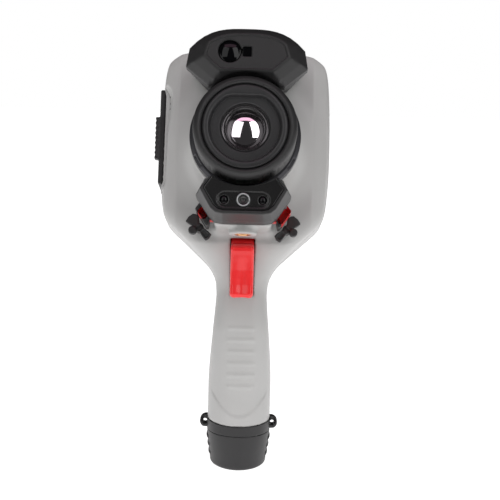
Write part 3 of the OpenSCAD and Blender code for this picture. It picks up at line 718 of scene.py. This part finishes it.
# The caps of the right (1) and left (-1) button, and the way that a pocket leaves for a press.
RELEASE = {1: np.array([(24.6, -40.6), (27.8, -44.9), (23.0, -51.9), (20.9, -46.4)]),
           -1: np.array([(24.4, -44.2), (26.4, -46.4), (24.0, -49.8), (22.2, -47.6)])}
PRESS = 1.1


def wings(h):
    x, y, z = np.abs(h[:, 0]), h[:, 1], h[:, 2]
    right = h[:, 0] > 0
    plate = np.maximum(polygon(x, z, WING) - 0.9, 17.7 - x)
    d = smooth_max(plate, slab(y, wing_low[1], wing_high[1]), 0.6)
    d = np.maximum(d, -(length(x, z - LENS_Z) - NECK_R - 0.2))
    cap, pressed = (np.where(right, polygon(u, z, RELEASE[1]), polygon(u, z, RELEASE[-1]))
                    for u in (x, x + PRESS))
    pocket = np.maximum(np.minimum(cap, pressed) - 1.0, y + 24.5)
    return np.maximum(d, -pocket)


piece("hood_wing_pair", wings, 0.5, "hood_wings")


def release(side, front):
    """A release button: its cap beside the wing and the stem into the body."""
    def field(h):
        x, y, z = h[:, 0] * side, h[:, 1], h[:, 2]
        cap = smooth_max(polygon(x, z, RELEASE[side]) - 0.7, slab(y, front, -25), 0.9)
        cap = np.maximum(cap, NECK_R + 0.5 - length(x, z - LENS_Z))
        stem = block(np.stack([x, y, z], 1), (16.7, -34, -51), (23, -28, -46), 0.4)
        return np.minimum(cap, stem)
    return field


piece("left_release_button", release(-1, wing_low[1] + 0.9), 0.45, "left_release")
piece("right_release_button", release(1, wing_low[1] - 0.2), 0.45, "right_release")

# ---- strap anchors ----
ANCHOR = flowing([(-8.8, -2.5), (-2.6, -1.8), (2.6, -2.3), (8, -4), (8.8, 2.4), (5, 4.2),
                  (2.2, 2.0), (-2.4, 1.8), (-8.2, 2.7)], 1)
ANCHOR_X, ANCHOR_Z = 26.6, -53.2
TILT = math.radians(48)


def anchors(h):
    x, y, z = np.abs(h[:, 0]) - ANCHOR_X, h[:, 1], h[:, 2] - ANCHOR_Z
    u = x * math.cos(TILT) + z * math.sin(TILT)
    v = z * math.cos(TILT) - x * math.sin(TILT)
    bar = meet(polygon(u, v, ANCHOR), slab(y, -24, -20), 0.9)
    waist = np.maximum(rounded_rect(u + 0.6, v, 1.3, 4, 1), y + 22.4)
    pad = np.maximum(rounded_rect(u + 5.4, v - 0.1, 2.4, 1.3, 0.8), y + 23.4)
    bar = smooth_max(bar, -np.minimum(waist, pad), 0.7)
    stem = meet(length(u, v) - 2.6, slab(y, -22, -13.6), 0.3)
    stud = meet(length(u - 1, v + 4.4) - 2.5, slab(y, -25.6, -20), 0.8)
    return smooth_min(smooth_min(bar, stem, 1.0), stud, 0.9)


piece("strap_anchor_pair", anchors, 0.45, "strap_anchors")

# ---- lens ----
def ring_profile(a):
    """The focusing ring, with fine grooves round its grip."""
    groove = 0.3 * max(0.0, math.cos(a * 36)) ** 2
    r = RING_R
    return [(BARREL_R + FIT, RING_FRONT + 2.4), (BARREL_R + 0.3, RING_FRONT + 1.3),
            (BARREL_R + 0.9, RING_FRONT + 0.5), (BARREL_R + 1.7, RING_FRONT + 0.1),
            (r - 3.0, RING_FRONT + 0.1), (r - 2.1, RING_FRONT + 0.6),
            (r - 1.0, RING_FRONT + 1.6), (r - 0.3, RING_FRONT + 3), (r, RING_FRONT + 4.6),
            (r - groove, RING_FRONT + 5.6), (r - groove, RING_REAR - 3.6), (r, RING_REAR - 2.8),
            (r, RING_REAR - 1), (r - 0.9, RING_REAR), (BARREL_R + FIT, RING_REAR)]


spun("focusing_ring", ring_profile, "focus_ring", centre=AXIS, segments=288)


def collar_profile(a):
    """The bayonet collar, with three grip notches in its front edge."""
    notch = max(0.0, math.cos(3 * (a - math.pi / 2))) > 0.955
    r = COLLAR_R - (1.6 if notch else 0)
    return [(BARREL_R + FIT, COLLAR_FRONT), (COLLAR_R - 1.8, COLLAR_FRONT),
            (r, COLLAR_FRONT + 1.6), (r, COLLAR_FRONT + 3.4),
            (COLLAR_R, COLLAR_FRONT + 3.6), (COLLAR_R, COLLAR_REAR - 2),
            (COLLAR_R - 0.5, COLLAR_REAR - 1.7), (COLLAR_R - 0.5, COLLAR_REAR),
            (BARREL_R + FIT, COLLAR_REAR)]


spun("bayonet_collar", collar_profile, "lens_collar", centre=AXIS, segments=192)

D_RADIUS, D_FLAT, D_DEPTH = 20.8, 16.6, 3.4
WELL_R = span("lens_retainer")[1][0]
CELL_R = span("lens_cell")[1][0] + FIT
SEAT_Y = span("front_lens")[1][1]


def barrel_profile(a):
    """The barrel, its face sunk in a D with the flat at the top."""
    flat = (D_FLAT - LENS_Z) / max(math.sin(a), 1e-3)
    h = min(1.0, max(0.0, 0.5 + 0.5 * (D_RADIUS - flat) / 1.6))
    d = flat * h + D_RADIUS * (1 - h) - 1.6 * h * (1 - h) if math.sin(a) > 0 else D_RADIUS
    f = BARREL_FRONT
    return [(WELL_R, SEAT_Y), (WELL_R, f + D_DEPTH + 0.8), (WELL_R + 0.8, f + D_DEPTH),
            (d - 1.0, f + D_DEPTH), (d - 0.2, f + 0.9), (d + 0.3, f + 0.2), (d + 1.0, f - 0.1),
            (BARREL_R - 1.8, f - 0.2), (BARREL_R - 0.9, f + 0.2), (BARREL_R - 0.25, f + 0.9),
            (BARREL_R, f + 1.9), (BARREL_R, BARREL_REAR), (CELL_R, BARREL_REAR), (CELL_R, -58),
            (12, -58), (12, SEAT_Y)]


spun("lens_barrel_body", barrel_profile, "lens_barrel", centre=AXIS, segments=192)

GLASS_R, DOME_R = 10.6, 20.0
dome_front = span("front_lens")[0][1]
dome = [(GLASS_R * t, dome_front + DOME_R - math.sqrt(DOME_R**2 - (GLASS_R * t) ** 2))
        for t in np.linspace(0, 1, 17)]
rim_y = dome[-1][1]
spun("front_lens_glass", [(0, SEAT_Y), (WELL_R - 0.1, SEAT_Y), (WELL_R - 0.1, rim_y + 0.4),
                          (GLASS_R + 0.3, rim_y + 0.3), *dome[::-1]],
     "front_lens", centre=AXIS, edge=0, closed=False)
face = span("lens_retainer")[0][1]
steps = [(0, -0.9), (0.5, -1.3), (1.0, -0.5), (1.5, 0.1), (1.8, 0.9), (2.6, 1.3)]
spun("lens_retaining_ring", [(WELL_R, rim_y + 0.1), *((WELL_R - a, face + b) for a, b in steps),
                             (GLASS_R + 0.1, rim_y + 0.1)],
     "lens_retainer", GLOSS_BLACK, centre=AXIS, edge=0.15)

# ---- windows of the hoods ----
eye_profile = [(0, EYE[1] + 0.6), (EYE_R, EYE[1] + 0.6), (EYE_R, EYE[1] - 0.2)]
eye_dome = [(6.1 * t, EYE[1] - 1.7 * (1 - t * t) - 0.3) for t in np.linspace(0, 1, 12)]
spun("camera_window_dome", [*eye_profile, *eye_dome[::-1]], "camera_window",
     centre=(EYE[0], EYE[2]), segments=96, edge=0, closed=False)
bezel_y = laser_low[1]
spun("laser_bezel_ring", [(3.0, bezel_y + 1.8), (3.05, bezel_y + 0.3), (3.3, bezel_y - 0.2),
                          (3.6, bezel_y - 0.2), (3.9, bezel_y + 0.3), (4.0, laser_high[1]),
                          (3.0, laser_high[1])],
     "laser_bezel", LOOKS["aluminium"], centre=(0, LASER_Z), segments=96, edge=0)
turned("laser_aperture", [(0, bezel_y + 1.7), (1.4, bezel_y + 1.7), (1.7, bezel_y + 1.0),
                          (2.98, bezel_y + 0.6), (2.98, laser_high[1]), (0, laser_high[1])],
       "root", GLOSS_BLACK, "black_plastic", centre=(0, LASER_Z), segments=64, edge=0,
       closed=False)

# ---- trigger ----
TRIGGER_SIDE = flowing([(-30, 147.2), (-34.2, 147.0), (-37, 145.2), (-36.6, 140.6), (-35.8, 131),
                        (-36.3, 122), (-37.5, 116.6), (-36, 114.4), (-33.6, 115), (-30.2, 126),
                        (-27.6, 137), (-20.4, 146.4), (-25.2, 149.4)], 1)
pin_low, pin_high = span("trigger_pin", False)
PIN = (pin_low + pin_high) / 2
PIN_R = 1.5


def trigger(p):
    x, y, z = p.T
    side = polygon(y, z, TRIGGER_SIDE)
    hollow = np.exp(-((x / 2.6) ** 2)) * ease((140 - z) / 14) * ease((-31 - y) / 2)
    hollow *= 0.2 + 0.8 * ease((z - 114.5) / 5)
    d = meet(side + hollow, np.abs(x) - TRIGGER_HALF, 2.2)
    hub = meet(length(y - PIN[1], z - PIN[2]) - 3.6, np.abs(x) - TRIGGER_HALF, 0.3)
    hole = length(y - PIN[1], z - PIN[2]) - PIN_R - FIT
    return np.maximum(np.minimum(d, hub), -hole)


piece("trigger_lever", trigger, 0.5, "trigger", raked=False)

# ---- grip foot, battery cap and latches ----
LUG_R, LUG_HOLE_X, LUG_HOLE_R = 4.2, 21.75, 1.55
LUG_X, LUG_Z = span("lug_ring", False)[1][0] - LUG_R, 26.0


def lug_ring(p):
    x, y, z = np.abs(p[:, 0]), p[:, 1], p[:, 2]
    band = smooth_max(grip_plan(x, y, -0.3), z - foot_line(x, y) + 0.02, 0.3)
    lug = meet(length(x - LUG_X, z - LUG_Z) - LUG_R, np.abs(y) - 3.6, 1.2)
    dish = length(x - LUG_HOLE_X - 0.3, (z - LUG_Z - 2.6) * 0.8, y + 5) - 3.2
    lug = smooth_max(lug, -dish, 0.5)
    d = smooth_min(band, lug, 1.0)
    d = np.maximum(d, CAP_TOP + 0.04 - z)
    d = np.maximum(d, -pack_room(x, y))
    return np.maximum(d, -(length(x - LUG_HOLE_X, z - LUG_Z) - LUG_HOLE_R))


piece("strap_lug_ring", lug_ring, 0.45, "lug_ring", raked=False)


def cap_outside(x, y, z):
    """The battery cap's outside, tapered at its sides."""
    taper = 2.3 * (1 - ease(z / 24)) * ease(np.abs(x) / 17)
    return smooth_max(grip_plan(x, y, -0.25) + taper, -z, 2.2)


def cap(p):
    x, y, z = np.abs(p[:, 0]), p[:, 1], p[:, 2]
    d = np.maximum(cap_outside(x, y, z), z - CAP_TOP)
    latch = block(np.stack([x, y, z], 1), (14.2, -8.2, 4.8), (30, 8.2, 18.6), 0.6)
    return np.maximum(d, -latch)


piece("battery_cap_cover", cap, 0.5, "battery_cap", raked=False)


def latch(side):
    def field(p):
        x, y, z = p[:, 0] * side, p[:, 1], p[:, 2]
        waves = 0.55 * np.cos((z - 6.6) / 3.4 * 2 * math.pi / 1.55)
        skin_d = cap_outside(x, y, z) - 0.2 - waves * ease((x - 15) / 3)
        return smooth_max(skin_d, block(np.stack([x, y, z], 1), (16, -8, 5), (30, 8, 18.4), 0.5), 0.4)
    return field


piece("left_battery_latch", latch(-1), 0.5, "left_latch", raked=False)
piece("right_battery_latch", latch(1), 0.5, "right_latch", raked=False)


def pack(p):
    low, high = span("battery_pack", False)
    x, y, z = p.T
    half, middle = (high - low) / 2, (high + low) / 2
    d = meet(rounded_rect(x, y - middle[1], half[0], half[1], 4), slab(z, low[2], high[2]), 0.8)
    label = np.maximum(rounded_rect(x, z - 66, 9, 28, 2), y - low[1] - 0.3)
    rails = np.maximum(np.abs(np.abs(x) - 5) - 0.7, np.maximum(high[1] - 0.6 - y, slab(z, 30, 104)))
    return np.maximum(np.maximum(d, -label), -rails)


piece("battery_pack_body", pack, 0.9, "battery_pack", raked=False)

# ---- port door ----
HINGE = span("door_pin")
HINGE_X, HINGE_Y = (HINGE[0][0] + HINGE[1][0]) / 2, (HINGE[0][1] + HINGE[1][1]) / 2
HINGE_PIN_R, HINGE_BARREL_R = 0.9, 1.8


def door(h):
    x, y, z = h.T
    low, high = DOOR_LOW[2], DOOR_HIGH[2]
    hinge_low, hinge_high = low + 3, high - 2.4
    flap = block(h, (-55, 3, low), (-51.7, 31, high), 0.9)
    rib = block(h, (DOOR_LOW[0], 3, -6), (-54, 8.5, 21.5), 0.8)
    rib = rib + 0.2 * np.cos(z * 2 * math.pi / 3.2) * ease((-55.4 - x) / 1)
    leaf = block(h, (HINGE_X - 1.2, 29, hinge_low), (HINGE_X + 1.2, HINGE_Y, hinge_high))
    round_hinge = length(x - HINGE_X, y - HINGE_Y)
    barrel = np.maximum(round_hinge - HINGE_BARREL_R, slab(z, hinge_low, hinge_high))
    d = smooth_min(smooth_min(flap, rib, 1.0), np.minimum(leaf, barrel), 0.6)
    ends = np.maximum(29.6 - y, np.maximum(-slab(z, hinge_low, hinge_high), -60 - x))
    d = np.maximum(d, -ends)
    return np.maximum(d, -(round_hinge - HINGE_PIN_R - FIT))


piece("port_cover", door, 0.7, "port_door")

# ---- tripod insert ----
insert_low, insert_high = span("tripod_insert")
INSERT_R = (insert_high[0] - insert_low[0]) / 2
BORE_R = 2.6


def thread_profile():
    """Brass insert with the thread's crests inside."""
    low, high = insert_low[2], insert_high[2]
    out = [(BORE_R + 0.7, low), (INSERT_R, low), (INSERT_R, high), (BORE_R + 0.5, high)]
    pitch = 1.27
    turns = int((high - low - 1) / pitch)
    for k in range(turns):
        top = high - 0.5 - k * pitch
        out += [(BORE_R + 0.55, top), (BORE_R, top - pitch / 2)]
    return out


spun("tripod_insert_thread", thread_profile(), "tripod_insert", centre=(BOSS[0], BOSS[1]),
     segments=64, edge=0, axis="z")

# ---- CAD nodes that keep their shape ----
EDGE = {"display_glass": 0.5, "display_frame": 0.6, "keypad_plate": 0.5, "nav_ring": 0.5,
        "ok_key": 0.6, "gallery_key": 0.7, "back_key": 0.7, "power_key": 0.7}
for name, obj in frame["nodes"].items():
    obj.data.materials.clear()
    obj.data.materials.append(LOOKS[SLOT_OF[name]])
    if not obj.hide_render:
        crisp(obj, EDGE.get(name, 0.15))

# ---- camera, light and floor ----
camera = bpy.data.objects.new("camera", bpy.data.cameras.new("camera"))
bpy.context.scene.collection.objects.link(camera)
bpy.context.scene.camera = camera
camera.data.sensor_width = 36
camera.data.lens = 80.5
AIM = Vector((4.606, 0, 138.79)) * MM
CAMERA_DISTANCE = 716.45 * MM
ELEVATION, ROLL = math.radians(8), math.radians(1.5)
back = Vector((0, -math.cos(ELEVATION), math.sin(ELEVATION)))
camera.location = AIM + back * CAMERA_DISTANCE
camera.rotation_mode = "QUATERNION"
roll = Matrix.Rotation(ROLL, 3, "Z").to_quaternion()
camera.rotation_quaternion = (-back).to_track_quat("-Z", "Y") @ roll


def lamp(name, place, target, width, height, radiance, tint=(1, 1, 1)):
    """A soft box of a given radiance, facing its target."""
    light = bpy.data.lights.new(name, "AREA")
    light.shape = "RECTANGLE"
    light.size, light.size_y = width, height
    light.energy = radiance * math.pi * width * height
    light.color = tint
    obj = bpy.data.objects.new(name, light)
    obj.location = place
    obj.rotation_euler = (Vector(target) - Vector(place)).to_track_quat("-Z", "Y").to_euler()
    bpy.context.scene.collection.objects.link(obj)


LIT = (0, 0, 0.2)
lamp("left_box", (-0.5, -0.87, 0.72), LIT, 0.62, 1.1, 1.35)
lamp("right_box", (0.6, -0.82, 0.72), LIT, 0.5, 1.1, 2.3)
lamp("top_box", (0.0, -0.42, 1.16), LIT, 1.0, 0.34, 1.1, (1, 0.62, 0.8))

# The room: soft light on surfaces, nearly dark in reflections and white behind the object.
world = bpy.data.worlds.new("studio")
bpy.context.scene.world = world
world.use_nodes = True
tree = world.node_tree
soft = tree.nodes["Background"]
bright = tree.nodes.new("ShaderNodeBackground")
faint = tree.nodes.new("ShaderNodeBackground")
for node, strength in ((soft, 0.42), (bright, 1.0), (faint, 0.03)):
    node.inputs["Color"].default_value = (1, 1, 1, 1)
    node.inputs["Strength"].default_value = strength
path = tree.nodes.new("ShaderNodeLightPath")
choose = tree.nodes.new("ShaderNodeMixShader")
mirror = tree.nodes.new("ShaderNodeMixShader")
tree.links.new(path.outputs["Is Glossy Ray"], mirror.inputs[0])
tree.links.new(soft.outputs[0], mirror.inputs[1])
tree.links.new(faint.outputs[0], mirror.inputs[2])
tree.links.new(path.outputs["Is Camera Ray"], choose.inputs[0])
tree.links.new(mirror.outputs[0], choose.inputs[1])
tree.links.new(bright.outputs[0], choose.inputs[2])
tree.links.new(choose.outputs[0], tree.nodes["World Output"].inputs["Surface"])

# The floor, in metres: it starts just ahead of the object.
FLOOR_REACH, FLOOR_FRONT = 12, -0.4
floor_mesh = bpy.data.meshes.new("floor")
floor_mesh.from_pydata([(-FLOOR_REACH, FLOOR_FRONT, 0), (FLOOR_REACH, FLOOR_FRONT, 0),
                        (FLOOR_REACH, FLOOR_REACH, 0), (-FLOOR_REACH, FLOOR_REACH, 0)],
                       [], [(0, 1, 2, 3)])
floor = bpy.data.objects.new("floor", floor_mesh)
bpy.context.scene.collection.objects.link(floor)
paper, tree, shader = nodes_of("white_paper")
shader.inputs["Base Color"].default_value = (0.85, 0.85, 0.85, 1)
shader.inputs["Roughness"].default_value = 0.9
shader.inputs["Specular IOR Level"].default_value = 0.1
shader.inputs["Emission Color"].default_value = (1, 1, 1, 1)
shader.inputs["Emission Strength"].default_value = 0.85
floor_mesh.materials.append(paper)

scene = bpy.context.scene
scene.view_settings.view_transform = "Standard"
scene.cycles.use_denoising = True
